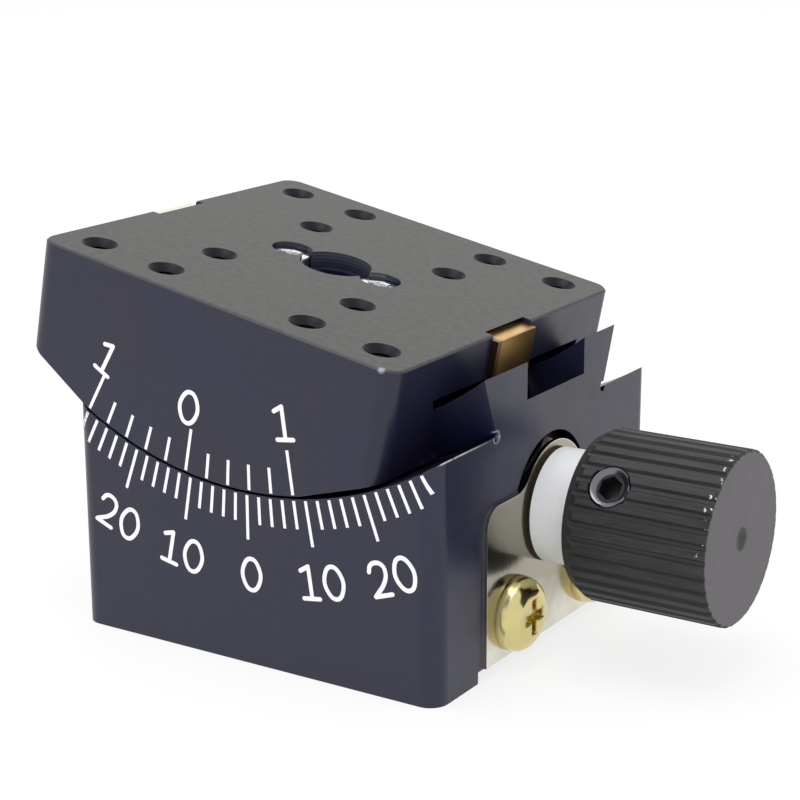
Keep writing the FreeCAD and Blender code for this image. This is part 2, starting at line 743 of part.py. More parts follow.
def gib_strip():
    body = new_body("gib_strip")
    sketch = arc_sketch(body)
    inner = f"({CEILING_RADIUS} + gib_margin)"
    outer = "(parting_radius - gib_margin)"
    far = "slide_gap + gib_width"
    add_polygon(sketch, (
        (flank(inner, "slide_gap"), f"-{inner}"), (flank(inner, far), f"-{inner}"),
        (flank(outer, far), f"-{outer}"), (flank(outer, "slide_gap"), f"-{outer}"),
    ))
    turned(body, sketch)
    keep = new_sketch(body, "XZ_Plane", ("0", "0", "0"))
    reach = "plan_length"
    for end in ("", "-"):
        add_rectangle(keep, (f"{end}gib_length / 2", f"-{reach}"), (f"{end}3 * {reach}", f"3 * {reach}"))
    pocket(body, keep, f"2 * {reach}", both_sides=True)
    upper = new_sketch(body, "XZ_Plane", ("0", "0", "0"))
    add_rectangle(upper, ("-plan_length", AXIS), ("plan_length", f"3 * {reach}"))
    pocket(body, upper, f"2 * {reach}", both_sides=True)
    place_on_tilt(body)
    return body


def gib_screws():
    """Three socket set screws in the back flange, which press the gib on the rail."""
    body = new_body("gib_screws")
    # The end of each screw meets the slanted back of the gib at its lowest edge
    inner_end = flank(f"{GIB_SCREW_RADIUS} - gib_screw / 2", "slide_gap + gib_width")
    sketch = new_sketch(
        body, "XZ_Plane", ("0", AXIS, f"-({HALF_WIDTH} - gib_screw_sink)"),
        (FreeCAD.Vector(0, 0, 1), "-gib_screw_spread"))
    add_circle(sketch, ("0", f"-{GIB_SCREW_RADIUS}"), "gib_screw")
    screw = pad(body, sketch, f"{HALF_WIDTH} - gib_screw_sink - {inner_end}")
    face = new_sketch(
        body, "XZ_Plane", ("0", AXIS, f"-({HALF_WIDTH} - gib_screw_sink)"),
        (FreeCAD.Vector(0, 0, 1), "-gib_screw_spread"))
    add_hexagon(face, ("0", f"-{GIB_SCREW_RADIUS}"), "gib_screw_socket")
    socket = pocket(body, face, "socket_depth", backwards=True)
    around_tilt_axis(body, [screw, socket], "3", "2 * gib_screw_spread")
    place_on_tilt(body)
    return body


def worm():
    body = new_body("worm")
    on_worm_axis(body, (
        ("-worm_half_length", "shaft / 2"), (FRONT_WASHER, "shaft / 2"), (FRONT_WASHER, "worm_hub / 2"),
        ("worm_thread_length / 2", "worm_hub / 2"), ("worm_thread_length / 2", WORM_RADIUS),
        ("-worm_thread_length / 2", WORM_RADIUS), ("-worm_thread_length / 2", "worm_hub / 2"),
        ("-worm_half_length", "worm_hub / 2"),
    ))
    turns = math.ceil(size(f"worm_thread_length / 2 / {PITCH}")) + 1
    start = f"(-{turns - 0.5} * {PITCH})"
    profile = new_sketch(body, "XZ_Plane", (start, WORM_AXIS, "0"))
    half = f"({PITCH} / 4 + flank_gap)"
    spread = "tan(pressure_angle)"
    root = f"({WORM_RADIUS} - {TOOTH_DEPTH})"
    out = f"({WORM_RADIUS} + tooth_module / 2)"
    at_root = f"({half} - (worm_pitch_radius - {root}) * {spread})"
    at_out = f"({half} + ({out} - worm_pitch_radius) * {spread})"
    add_polygon(profile, (
        (f"-{at_out}", out), (at_out, out), (at_root, root), (f"-{at_root}", root),
    ))
    thread = feature(body, "SubtractiveHelix", profile, Pitch=PITCH, Height=f"{2 * turns - 1} * {PITCH}")
    thread.ReferenceAxis = (profile, ["H_Axis"])
    thread.Mode = "pitch-height-angle"

    hole = new_sketch(body, "XY_Plane", ("0", "0", WORM_AXIS))
    add_circle(hole, (WORM_PIN_PLACE, "0"), "worm_pin")
    pocket(body, hole, f"worm_hub + {MARGIN}", both_sides=True)
    place_on_worm(body)
    return body


def worm_shaft():
    body = new_body("worm_shaft")
    end = f"({KNOB_START} + knob_bore_depth - knob_bore_gap)"
    rear = f"-{SHAFT_REAR_END}"
    on_worm_axis(body, ((rear, "0"), (end, "0"), (end, "shaft / 2"), (rear, "shaft / 2")))
    hole = new_sketch(body, "XY_Plane", ("0", "0", WORM_AXIS))
    add_circle(hole, (WORM_PIN_PLACE, "0"), "worm_pin")
    pocket(body, hole, f"shaft + {MARGIN}", both_sides=True)
    place_on_worm(body)
    return body


def worm_pin():
    """The cross pin that holds the worm on its shaft."""
    body = new_body("worm_pin")
    section = new_sketch(body, "XY_Plane", ("0", "0", WORM_AXIS))
    add_circle(section, (WORM_PIN_PLACE, "0"), "worm_pin")
    pad(body, section, "worm_hub - 2 * worm_pin_sink", both_sides=True)
    place_on_worm(body)
    return body


def wave_washer():
    """A three-wave spring ring between the front bush and the bearing plate."""
    start = size(FRONT_BUSH_END)
    end = size(HALF_LENGTH)
    sheet = size("wave_washer_sheet")
    inner = size("wave_washer_bore / 2")
    outer = size("wave_washer / 2")
    height = size(WORM_AXIS)
    middle = (start + end) / 2
    swing = (end - start - sheet) / 2
    waves = 3
    steps = 24

    def ring(radius, offset):
        points = []
        for step in range(steps):
            angle = 2 * math.pi * step / steps
            x = middle + offset + swing * math.cos(waves * angle)
            points.append(FreeCAD.Vector(x, radius * math.cos(angle), height + radius * math.sin(angle)))
        curve = Part.BSplineCurve()
        curve.interpolate(points, PeriodicFlag=True)
        return Part.Wire(curve.toShape())

    corners = [
        ring(inner, -sheet / 2), ring(outer, -sheet / 2), ring(outer, sheet / 2), ring(inner, sheet / 2),
    ]
    faces = []
    for index, wire in enumerate(corners):
        following = corners[(index + 1) % len(corners)]
        faces.extend(Part.makeRuledSurface(wire, following).Faces)
    item = DOCUMENT.addObject("Part::Feature", "wave_washer")
    item.Label = "wave_washer"
    shell = Part.Shell(faces)
    shell.sewShape()
    item.Shape = Part.Solid(shell)
    return item


def knob():
    body = new_body("knob")
    on_worm_axis(body, (
        (KNOB_START, "0"), (KNOB_END, "0"), (KNOB_END, "knob / 2 - knob_edge"),
        (f"{KNOB_END} - knob_edge", "knob / 2"), (f"{KNOB_START} + knob_shoulder_length", "knob / 2"),
        (KNOB_START, "knob / 2 - knob_shoulder"),
    ))
    on_worm_axis(body, (
        (f"{KNOB_START} - {MARGIN}", "0"), (f"{KNOB_START} + knob_bore_depth", "0"),
        (f"{KNOB_START} + knob_bore_depth", "shaft / 2"), (f"{KNOB_START} - {MARGIN}", "shaft / 2"),
    ), cut=True)
    on_worm_axis(body, (
        (f"{KNOB_END} - knob_face_mark_depth", "0"), (f"{KNOB_END} + {MARGIN}", "0"),
        (f"{KNOB_END} + {MARGIN}", "knob_face_mark / 2"), (KNOB_END, "knob_face_mark / 2"),
    ), cut=True)

    # The radial hole for the grub screw
    turn = (FreeCAD.Vector(1, 0, 0), "grub_screw_angle - 90")
    hole = new_sketch(body, "XY_Plane", (f"{KNOB_START} + grub_screw_place", "0", WORM_AXIS), turn)
    add_circle(hole, ("0", "0"), "grub_screw")
    pocket(body, hole, f"knob / 2 + {MARGIN}", backwards=True)

    # Straight knurling, which runs out on the sloped shoulder
    groove = new_sketch(body, "YZ_Plane", ("0", WORM_AXIS, f"{KNOB_END} + {MARGIN}"))
    floor = "(knob / 2 - rib_gap_depth)"
    clear = f"(knob / 2 + {MARGIN})"
    add_polygon(groove, (
        ("-rib_gap_width / 2", "knob / 2"), ("-rib_gap_floor / 2", floor), ("rib_gap_floor / 2", floor),
        ("rib_gap_width / 2", "knob / 2"), ("rib_gap_width / 2", clear), ("-rib_gap_width / 2", clear),
    ))
    cut = pocket(body, groove, f"knob_length - knob_band + {MARGIN}")
    pivot = new_sketch(body, "YZ_Plane", ("0", WORM_AXIS, "0"))
    pattern = body.newObject("PartDesign::PolarPattern", "knob_knurl")
    pattern.Originals = [cut]
    pattern.Axis = (pivot, ["N_Axis"])
    pattern.Angle = 360
    bind(pattern, Occurrences="knob_ribs")
    body.Tip = pattern
    return body


def knob_grub_screw():
    body = new_body("knob_grub_screw")
    turn = (FreeCAD.Vector(1, 0, 0), "grub_screw_angle - 90")
    place = f"{KNOB_START} + grub_screw_place"
    top = "(knob / 2 - grub_screw_sink)"
    section = new_sketch(body, "XY_Plane", (place, "0", WORM_AXIS), turn)
    add_circle(section, ("0", "0"), "grub_screw")
    pad(body, section, top)
    # Its end rests on the round shaft
    on_worm_axis(body, (
        (KNOB_START, "0"), (KNOB_END, "0"), (KNOB_END, "shaft / 2"), (KNOB_START, "shaft / 2"),
    ), cut=True)
    outer_end = (
        place, f"{top} * cos(grub_screw_angle)", f"{WORM_AXIS} + {top} * sin(grub_screw_angle)")
    face = new_sketch(body, "XY_Plane", outer_end, turn)
    add_hexagon(face, ("0", "0"), "grub_socket")
    pocket(body, face, "socket_depth")
    return body


PIECES = [
    base_block(),
    bearing_plate(),
    bearing_plate_screws(),
    base_stop_pins(),
    worm_ring("rear_bush", f"-{BORE_END}", f"{BORE_END} - worm_half_length - rear_washer",
              f"{WORM_BORE} - 2 * bush_fit", "shaft + 2 * run_gap"),
    worm_ring("rear_thrust_washer", "-worm_half_length - rear_washer", "rear_washer",
              f"{WORM_BORE} - 2 * washer_gap", "shaft + washer_gap"),
    worm_ring("front_thrust_washer", FRONT_WASHER, "thrust_washer",
              f"{WORM_BORE} - 2 * washer_gap", "shaft + washer_gap"),
    worm_ring("front_bush", FRONT_BUSH, f"{FRONT_BUSH_END} - {FRONT_BUSH}",
              f"{WORM_BORE} - 2 * bush_fit", "shaft + 2 * run_gap"),
    wave_washer(),
    stage_table(),
    table_stop_pin(),
    worm_sector(),
    sector_screws(),
    gib_strip(),
    gib_screws(),
    worm(),
    worm_shaft(),
    worm_pin(),
    worm_ring("spacer_washer", SPACER_START, "spacer_length", "spacer", "shaft"),
    knob(),
    knob_grub_screw(),
]

DOCUMENT.recompute()
for item in DOCUMENT.Objects:
    if "Invalid" in item.State or "Error" in item.State:
        raise RuntimeError(f"{item.Name} did not compute: {item.State}")
os.makedirs("parts", exist_ok=True)
for piece in PIECES:
    if piece.Shape.isNull() or not piece.Shape.isValid():
        raise RuntimeError(f"{piece.Label} is not a valid shape")
for piece in PIECES:
    piece.Shape.exportStep(f"parts/{piece.Label}.step")
    solids = piece.Shape.Solids
    print(f"{piece.Label}: {len(solids)} solid(s), {sum(solid.Volume for solid in solids):.2f} mm3")
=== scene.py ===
import json
import math

import bpy
from mathutils import Matrix, Vector


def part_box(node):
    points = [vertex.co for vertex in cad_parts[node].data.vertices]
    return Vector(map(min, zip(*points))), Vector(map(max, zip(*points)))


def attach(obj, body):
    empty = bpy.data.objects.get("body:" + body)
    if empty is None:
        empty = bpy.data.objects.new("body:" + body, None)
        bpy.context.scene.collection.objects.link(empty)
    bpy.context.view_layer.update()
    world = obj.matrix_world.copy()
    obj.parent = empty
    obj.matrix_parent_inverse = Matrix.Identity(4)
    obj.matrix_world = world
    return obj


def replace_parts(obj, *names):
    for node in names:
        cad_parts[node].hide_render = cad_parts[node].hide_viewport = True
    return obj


# A small dovetail goniometer stage with an engraved degree scale, lit in a pale studio.
# Lengths are in metres, as in the frame. MM turns millimetres into metres.
# The places inside a finish are in plain millimetres.

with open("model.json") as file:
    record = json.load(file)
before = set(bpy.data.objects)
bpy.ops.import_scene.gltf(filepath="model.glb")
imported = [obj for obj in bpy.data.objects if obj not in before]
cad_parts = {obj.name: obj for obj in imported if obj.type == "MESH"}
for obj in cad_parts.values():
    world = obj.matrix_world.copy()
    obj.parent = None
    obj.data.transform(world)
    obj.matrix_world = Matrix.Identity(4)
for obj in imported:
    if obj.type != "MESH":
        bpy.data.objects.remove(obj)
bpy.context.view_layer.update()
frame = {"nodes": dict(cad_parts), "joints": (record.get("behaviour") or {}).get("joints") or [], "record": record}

MM = 0.001
NODES = frame["nodes"]
JOINTS = {joint["name"]: joint for joint in frame["joints"]}
MOUNTS = {mount["name"]: mount for mount in frame["record"]["mounts"]}

# The tilt axis, the worm's axis and the table's present lean
TILT_AXIS = Vector(JOINTS["stage_tilt"]["pos_m"])
WORM_AXIS = Vector(JOINTS["worm_spin"]["pos_m"])
TABLE_NORMAL = Vector(MOUNTS["table_top"]["axis"])
LEAN = math.atan2(TABLE_NORMAL.x, TABLE_NORMAL.z)
TABLE_CENTRE = Vector(MOUNTS["table_top"]["pos_m"])
TABLE_CENTRE.y = 0

# How far in front of the scale's face the marks are drawn, before they are laid on it
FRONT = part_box("base_block")[0].y - 1 * MM
KNOB_LOW, KNOB_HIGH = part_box("knob")

# The engraved scale: radii about the tilt axis, angles in degrees from straight down
PARTING_RADIUS = 36.5 * MM
MARK_WIDTH = 0.32 * MM
MARK_CUTS = 12
PEN_WIDTH = 0.42 * MM
PEN_STEPS = 8
PEN_SIDES = 2
PEN_END_CORNERS = 16
PAINT_LIFT = 0.01 * MM
PAINT_STEP = 0.0015 * MM
PAINT_LAYERS = 9
MARK_LIMIT = 19.3 * MM
SCALE_START = PARTING_RADIUS + 0.3 * MM
SCALE_SHORT = PARTING_RADIUS + 2.9 * MM
SCALE_LONG = PARTING_RADIUS + 4.5 * MM
SCALE_REACH = 30
SCALE_STEP = 2
SCALE_LONG_STEP = 10
VERNIER_START = PARTING_RADIUS - 0.22 * MM
VERNIER_SHORT = PARTING_RADIUS - 2.6 * MM
VERNIER_LONG = PARTING_RADIUS - 4.3 * MM
VERNIER_STEP = 3.8
VERNIER_REACH = 5

# Figures: centre line sizes of one digit, and the labels as (angle, radius, digits)
DIGIT_HEIGHT = 3.0 * MM
DIGIT_WIDTH = 1.8 * MM
DIGIT_SPACING = 2.75 * MM
LABEL_RADIUS = 44.3 * MM
SCALE_LABELS = (
    (-20, LABEL_RADIUS, "20"), (-10, LABEL_RADIUS, "10"), (0.4, LABEL_RADIUS, "0"),
    (10.4, LABEL_RADIUS, "10"), (20.4, LABEL_RADIUS, "20"),
)
VERNIER_LABELS = ((-20.1, 30.7 * MM, "1"), (-1.1, 30.3 * MM, "0"), (18.8, 29.75 * MM, "1"))

# One digit's strokes in units of its width and height, each with True where it is closed
DIGITS = {
    "0": ((((0, 0.5), (0.46, 0.26), (0.46, -0.26), (0, -0.5), (-0.46, -0.26), (-0.46, 0.26)), True),),
    "1": ((((-0.42, 0.36), (0.08, 0.5)), False), (((0.08, 0.5), (0.08, -0.5)), False),
          (((-0.42, -0.5), (0.55, -0.5)), False)),
    "2": ((((-0.5, 0.26), (-0.33, 0.44), (0, 0.5), (0.36, 0.4), (0.45, 0.18), (0.28, -0.08), (-0.5, -0.5)),
           False), (((-0.5, -0.5), (0.5, -0.5)), False)),
}

# The table's threaded holes, as places on its top: x towards the knob, y to the back
HOLE_PLACES = [(16 * i * MM, 16 * j * MM) for i in (-1, 1) for j in (-1, 1)]
HOLE_PLACES += [(8 * i * MM, 8 * j * MM) for i in (-1, 1) for j in (-2, -1, 1, 2)]
HOLE_MOUTH = 1.7 * MM
HOLE_DRILL = 1.25 * MM
HOLE_SKIN = 0.012 * MM
THREAD_CREST = 1.06 * MM
THREAD_PITCH = 0.5 * MM
THREAD_TURNS = 6
RIM_CORNERS = 40

# The two cap screws in the centre of the table, by their depth below its top
CAP_SCREW_PLACE = 5.2 * MM
CAP_SCREW_TOP = 0.4 * MM
CAP_SCREW_UNDER = 4.6 * MM
CAP_SCREW_END = 10.6 * MM
CAP_SCREW_HEAD = 1.9 * MM
CAP_SCREW_SHANK = 1.0 * MM
CAP_SCREW_SOCKET = 0.87 * MM
CAP_SCREW_SOCKET_DEPTH = 1 * MM
CAP_SCREW_ROUND = 0.18 * MM
CAP_SCREW_TURN = 0.4

# The grub screw's place on the knob: along the shaft, and its angle from +Y about the shaft
GRUB_PLACE = KNOB_LOW.x + 4 * MM
GRUB_ANGLE = math.radians(142)
GRUB_TOP = 7.5 * MM

# The crown's outline from the outside in, as radius and height in millimetres
GRUB_CROWN = ((1.96, 0), (1.96, 0.2), (1.78, 0.36), (1.5, 0.26), (1.3, 0))

# Painted highlights and painted light, in millimetres. Those of the base are at its knob end: the shoulder's edge,
# about the tilt axis, and the root's relief as y and z. Those of the table, a corner glint, an edge glint and the
# light in its bore, are from the middle of its top.
SHOULDER_EDGE = 36.65
RELIEF_PLACE = (-10.1, 22.29)
RELIEF_RADIUS = 0.53
TABLE_CORNER_GLINT = (18.5, -19.8, -0.1)
TABLE_END_GLINT_HEIGHT = -10.1
BORED_REACH = 5
BORE_LINES = 18

# The photograph's camera
VIEW_TARGET = Vector((3.47, 0, 20.83)) * MM
VIEW_AZIMUTH = math.radians(32.66)
VIEW_ELEVATION = math.radians(15.57)
VIEW_ROLL = math.radians(-0.156)
VIEW_DISTANCE = 195.06 * MM
FOCAL_PIXELS = 2031.92
PHOTO_PIXELS = 800
SENSOR = 36

# How bright the surround is, and how much of the floor's shade the camera doesn't see
SURROUND = 0.92
FLOOR_WHITE = 0.8

# The lamps: name, place, power in watts and side
LAMPS = (("top_lamp", (-0.05, -0.1, 0.6), 1.6, 0.4), ("back_lamp", (-0.24, 0.55, 0.34), 0.25, 0.45))


class Wire:
    """A value in a node tree. Python's signs add the Math nodes."""

    def __init__(self, tree, socket):
        self.tree = tree
        self.socket = socket

    def maths(self, operation, *others):
        return self.tree.node("ShaderNodeMath", [self, *others], operation=operation)

    def __add__(self, other):
        return self.maths("ADD", other)

    def __sub__(self, other):
        return self.maths("SUBTRACT", other)

    def __mul__(self, other):
        return self.maths("MULTIPLY", other)

    def __pow__(self, other):
        return self.maths("POWER", other)

    def __rsub__(self, other):
        return self.tree.node("ShaderNodeMath", [other, self], operation="SUBTRACT")

    __radd__ = __add__
    __rmul__ = __mul__

    def __abs__(self):
        return self.maths("ABSOLUTE")

    def ramp(self, low, high):
        """0 below low and 1 above high, with a straight rise between; high may be the lower one."""
        return self.tree.node(
            "ShaderNodeMapRange", {"Value": self, "From Min": low, "From Max": high}, clamp=True)


class Tree:
    """The node tree of a material or a world, with the node that its wires feed at last."""

    def __init__(self, owner, shader):
        owner.use_nodes = True
        self.nodes = owner.node_tree.nodes
        self.links = owner.node_tree.links
        self.shader = self.nodes[shader]

    def node(self, kind, values=(), output=0, **settings):
        """Adds a node with its settings, then its sockets' values or links, and gives one output."""
        item = self.nodes.new(kind)
        for name, value in settings.items():
            setattr(item, name, value)
        for place, value in values.items() if isinstance(values, dict) else enumerate(values):
            if isinstance(value, Wire):
                self.links.new(value.socket, item.inputs[place])
            else:
                item.inputs[place].default_value = value
        return Wire(self, item.outputs[output])

    def feed(self, socket, value):
        self.links.new(value.socket, self.shader.inputs[socket])

    def share_seen(self, share):
        """The share where a camera, glossy or transmission ray looks, and 0 for the light on the object."""
        seen = self.node("ShaderNodeLightPath", output="Is Camera Ray")
        for kind in ("Is Glossy Ray", "Is Transmission Ray"):
            seen = seen.maths("MAXIMUM", self.node("ShaderNodeLightPath", output=kind))
        return seen * share


class Finish(Tree):
    """A material with one Principled shader."""

    def __init__(self, name, **constants):
        self.material = bpy.data.materials.new(name)
        super().__init__(self.material, "Principled BSDF")
        for socket, value in constants.items():
            self.shader.inputs[socket.replace("_", " ")].default_value = value

    def colour(self, factor, first, second):
        """A colour between first and second, each a wire or (r, g, b)."""
        first, second = ((*c, 1) if isinstance(c, tuple) else c for c in (first, second))
        # In a colour mix, socket 0 is the factor, and 6 and 7 are the two colours
        return self.node("ShaderNodeMix", {0: factor, 6: first, 7: second}, output=2, data_type="RGBA")

    def place(self, centre=(0, 0, 0), turn=(0, 0, 0)):
        """Object coordinates from centre, turned, in millimetres."""
        coordinates = self.node("ShaderNodeTexCoord", output="Object")
        return self.node(
            "ShaderNodeMapping",
            {"Vector": coordinates, "Location": centre, "Rotation": turn, "Scale": (MM, MM, MM)},
            vector_type="TEXTURE")

    def axes(self, place):
        """The x, y and z of a place."""
        return [self.node("ShaderNodeSeparateXYZ", [place], output=letter) for letter in "XYZ"]

    def stretch(self, place, x, y, z):
        """A place whose pattern is finer along an axis where the factor is larger."""
        return self.node("ShaderNodeVectorMath", [place, (x, y, z)], operation="MULTIPLY")

    def grain(self, place, scale, detail=3.0):
        """Noise about 0.5, with scale waves or so to the millimetre."""
        return self.node("ShaderNodeTexNoise", {"Vector": place, "Scale": scale, "Detail": detail})

    def sharp_edges(self, radius, full):
        """1 on sharp edges, fading over about a radius in metres. A lower full widens the marked part."""
        soft = self.node("ShaderNodeBevel", {"Radius": radius}, samples=6)
        flat = self.node("ShaderNodeNewGeometry", output="Normal")
        turned = self.node("ShaderNodeVectorMath", [soft, flat], output="Value", operation="DOT_PRODUCT")
        return (1 - turned).ramp(0.02, full)

    def bump(self, height, distance, normal=None):
        values = {"Height": height, "Distance": distance}
        if normal:
            values["Normal"] = normal
        self.feed("Normal", self.node("ShaderNodeBump", values))


def coat(name, finish):
    """Gives a CAD node the finish in all its slots."""
    for slot in NODES[name].material_slots:
        slot.material = finish.material


def black_anodised(name, centre, turn):
    """Satin black anodised aluminium, a little blue, with faint handling marks and edges painted light grey in
    patches, partly as wear and partly as a painted edge highlight.
    """
    finish = Finish(name, IOR=1.5)
    place = finish.place(centre, turn)
    clouds = finish.grain(place, 0.11)
    mottle = finish.grain(place, 0.9, 4.0)
    smears = finish.grain(finish.stretch(place, 0.3, 1, 1), 0.35, 5.0)
    fine = finish.grain(place, 6.0, 2.0)
    # Sharp edges painted light grey in patches: partly wear, partly a painted edge highlight
    edges = finish.sharp_edges(0.1 * MM, 0.3) * finish.grain(place, 0.8).ramp(0.52, 0.66)
    dye_and_painted_light = finish.colour(clouds.ramp(0.35, 0.65), (0.0075, 0.0105, 0.035), (0.0115, 0.0105, 0.03))
    dye_and_painted_light = finish.colour(mottle.ramp(0.5, 0.8) * 0.35, dye_and_painted_light, (0.02, 0.021, 0.035))
    finish.bump(fine * 0.6 + mottle * 0.4, 0.012 * MM)
    gloss = smears.ramp(0.3, 0.7) * 0.08 + 0.27 + fine * 0.06
    return finish, place, finish.colour(edges * 0.6, dye_and_painted_light, (0.22, 0.22, 0.24)), gloss


def base_anodised():
    """The base's anodising, with a painted highlight as a bright line and ring where its shoulder ends above the
    knob.
    """
    finish, place, dye_and_painted_light, gloss = black_anodised("black_anodised", (0, 0, 0), (0, 0, 0))
    x, y, z = finish.axes(place)
    radius = ((x - TILT_AXIS.x / MM) ** 2 + (z - TILT_AXIS.z / MM) ** 2) ** 0.5
    # Painted highlights on the end face at the knob: a line along the shoulder's edge and a ring about the root's
    # relief
    lip = abs(radius - SHOULDER_EDGE).ramp(0.16, 0.04) * y.ramp(-10.8, -16.5)
    relief_y, relief_z = RELIEF_PLACE
    reach = ((y - relief_y) ** 2 + (z - relief_z) ** 2) ** 0.5
    ring = abs(reach - RELIEF_RADIUS).ramp(0.14, 0.06) * 0.45
    painted_highlight = (lip + ring) * x.ramp(19.5, 19.9) * finish.grain(place, 1.5).ramp(0.2, 0.5)
    finish.feed("Base Color", finish.colour(painted_highlight, dye_and_painted_light, (0.7, 0.7, 0.74)))
    finish.feed("Roughness", gloss)
    return finish


def table_anodised():
    """The table's anodising: matter on top and painted lighter there as a painted sheen, with painted light in the
    bore and painted highlights at a corner and along an edge of its knob end.
    """
    finish, place, dye_and_painted_light, gloss = black_anodised("black_anodised_table", tuple(TABLE_CENTRE), (0, LEAN, 0))
    x, y, z = finish.axes(place)
    mottle = finish.grain(place, 1.3, 5.0)
    top = z.ramp(-0.15, -0.05)
    # Painted light on the bore's walls, brightest near the top, with the lines of its thread
    bore_light = (x * x + y * y).ramp(BORED_REACH ** 2 + 1, BORED_REACH ** 2 - 1) * z.ramp(-0.05, -0.15)
    lines = (z * BORE_LINES).maths("SINE") * 0.3 + 0.7
    # A painted highlight: a grey speck at the top's front corner at the knob end
    glint_x, glint_y, glint_z = TABLE_CORNER_GLINT
    reach = ((x - glint_x) ** 2 + (y - glint_y) ** 2 + (z - glint_z) ** 2) ** 0.5 + mottle * 0.3
    dye_and_painted_light = finish.colour(bore_light * z.ramp(-1.7, -0.4) * lines, dye_and_painted_light, (0.085, 0.095, 0.125))
    # The top is matter, and its lighter colour is a painted sheen
    painted_top_sheen = finish.colour(mottle.ramp(0.35, 0.65), (0.035, 0.038, 0.034), (0.062, 0.063, 0.057))
    # A painted highlight along the lower edge of the end face at the knob end
    end_edge_glint = abs(z - TABLE_END_GLINT_HEIGHT).ramp(0.5, 0.1) * x.ramp(19.7, 19.95) * y.ramp(-14, -7) * y.ramp(-2.5, -5)
    dye_and_painted_light = finish.colour(top, finish.colour(end_edge_glint * mottle.ramp(0.45, 0.6), dye_and_painted_light, (0.2, 0.19, 0.24)), painted_top_sheen)
    finish.feed("Base Color", finish.colour(reach.ramp(0.55, 0.3), dye_and_painted_light, (0.3, 0.3, 0.31)))
    finish.feed("Roughness", gloss * (1 - top) + top * (0.5 + mottle * 0.12))
    return finish


def knob_black():
    """Black anodised turning: matt ribs with bright tips rubbed bare near the free end, grooves painted lighter as
    a painted fill against their shade, and a turned face painted lighter as a painted reflection.
    """
    finish = Finish("knob_black", IOR=1.5)
    place = finish.place((KNOB_LOW.x, WORM_AXIS.y, WORM_AXIS.z))
    x, y, z = finish.axes(place)
    radius = (y * y + z * z) ** 0.5
    length = (KNOB_HIGH.x - KNOB_LOW.x) / MM
    outer = (KNOB_HIGH.z - KNOB_LOW.z) / 2 / MM
    grain = finish.grain(place, 2.2)
    streaks = finish.grain(finish.stretch(place, 0.2, 1.6, 1.6), 1.2, 5.0)
    scratches = finish.grain(finish.stretch(place, 0.6, 5, 5), 1.5, 3.0)
    crest = radius.ramp(outer - 0.3, outer - 0.05)
    tips = radius.ramp(outer - 0.2, outer - 0.08) * x.ramp(length - 1.1, length - 0.5) * z.ramp(-1, 2)
    chips = tips * grain.ramp(0.6, 0.65)
    face = x.ramp(length - 0.06, length - 0.02)
    rings = (radius * 40).maths("SINE")
    dye_and_painted_light = finish.colour(streaks.ramp(0.35, 0.68), (0.004, 0.004, 0.0055), (0.022, 0.021, 0.023))
    # Painted fill: the grooves between the ribs painted lighter against their shade
    dye_and_painted_light = finish.colour((1 - crest) * 0.85, dye_and_painted_light, (0.026, 0.025, 0.027))
    dye_and_painted_light = finish.colour(crest * scratches.ramp(0.5, 0.8) * 0.5, dye_and_painted_light, (0.04, 0.039, 0.04))
    # Painted reflection: the face painted lighter
    dye_and_painted_light = finish.colour(face, dye_and_painted_light, (0.1, 0.093, 0.102))
    finish.feed("Base Color", finish.colour(chips, dye_and_painted_light, (0.75, 0.75, 0.76)))
    finish.feed("Roughness", 0.5 + streaks * 0.2)
    finish.bump(grain * 0.4 + streaks * 2.5 * (1 - face) + rings * face * 0.3, 0.03 * MM)
    return finish


def sector_brass():
    """Milled brass: its end at the knob painted dark orange and its front side dark brown as painted shade, pale
    at the far end, tarnished in spots.
    """
    finish = Finish("sector_brass", Metallic=1.0)
    place = finish.place(tuple(TABLE_CENTRE), (0, LEAN, 0))
    x, y, z = finish.axes(place)
    spots = finish.grain(place, 0.5, 5.0)
    lines = finish.grain(finish.stretch(place, 1, 0.15, 3), 3.0)
    tone = finish.colour(spots.ramp(0.35, 0.7), (0.72, 0.47, 0.17), (0.56, 0.34, 0.11))
    # Painted shade: the end face at the knob end darker orange, most towards the back and the top
    painted_end_shade = x.ramp(20.2, 20.5) * (0.75 + z.ramp(-2, -0.5) * 0.25)
    tone = finish.colour(painted_end_shade * (0.55 + y.ramp(-2, 2.5) * 0.4), tone, (0.3, 0.15, 0.035))
    # Painted shade on the front side
    tone = finish.colour(y.ramp(-2.75, -2.95) * 0.85, tone, (0.1, 0.05, 0.02))
    tone = finish.colour(x.ramp(-18.5, -19.0), tone, (0.62, 0.63, 0.5))
    finish.feed("Base Color", finish.colour(lines * 0.2, tone, (0.7, 0.5, 0.22)))
    finish.feed("Roughness", 0.24 + spots * 0.16)
    finish.bump(lines, 0.01 * MM)
    return finish


def plate_nickel():
    """Bright nickel plated sheet, a little stained, darker in its upper part as a painted reflection of the knob,
    with its sheared edges painted white as a painted highlight.
    """
    finish = Finish("plate_nickel", Metallic=1.0)
    place = finish.place()
    drawn = finish.grain(finish.stretch(place, 1, 2, 0.3), 1.2, 3.0)
    stains = finish.grain(place, 0.2)
    edges = finish.sharp_edges(0.2 * MM, 0.2)
    x, y, z = finish.axes(place)
    tone = finish.colour(stains.ramp(0.35, 0.65), (0.76, 0.73, 0.65), (0.66, 0.62, 0.52))
    # Painted reflection of the knob: darker in the upper part, broken up by the stains
    tone = finish.colour((z + stains * 5).ramp(4.5, 9.0) * 0.75, tone, (0.23, 0.21, 0.16))
    # The sheared edges painted white as a painted highlight
    finish.feed("Base Color", finish.colour(edges, tone, (0.95, 0.94, 0.9)))
    finish.feed("Roughness", 0.1 + drawn * 0.08)
    finish.bump(drawn, 0.006 * MM)
    return finish


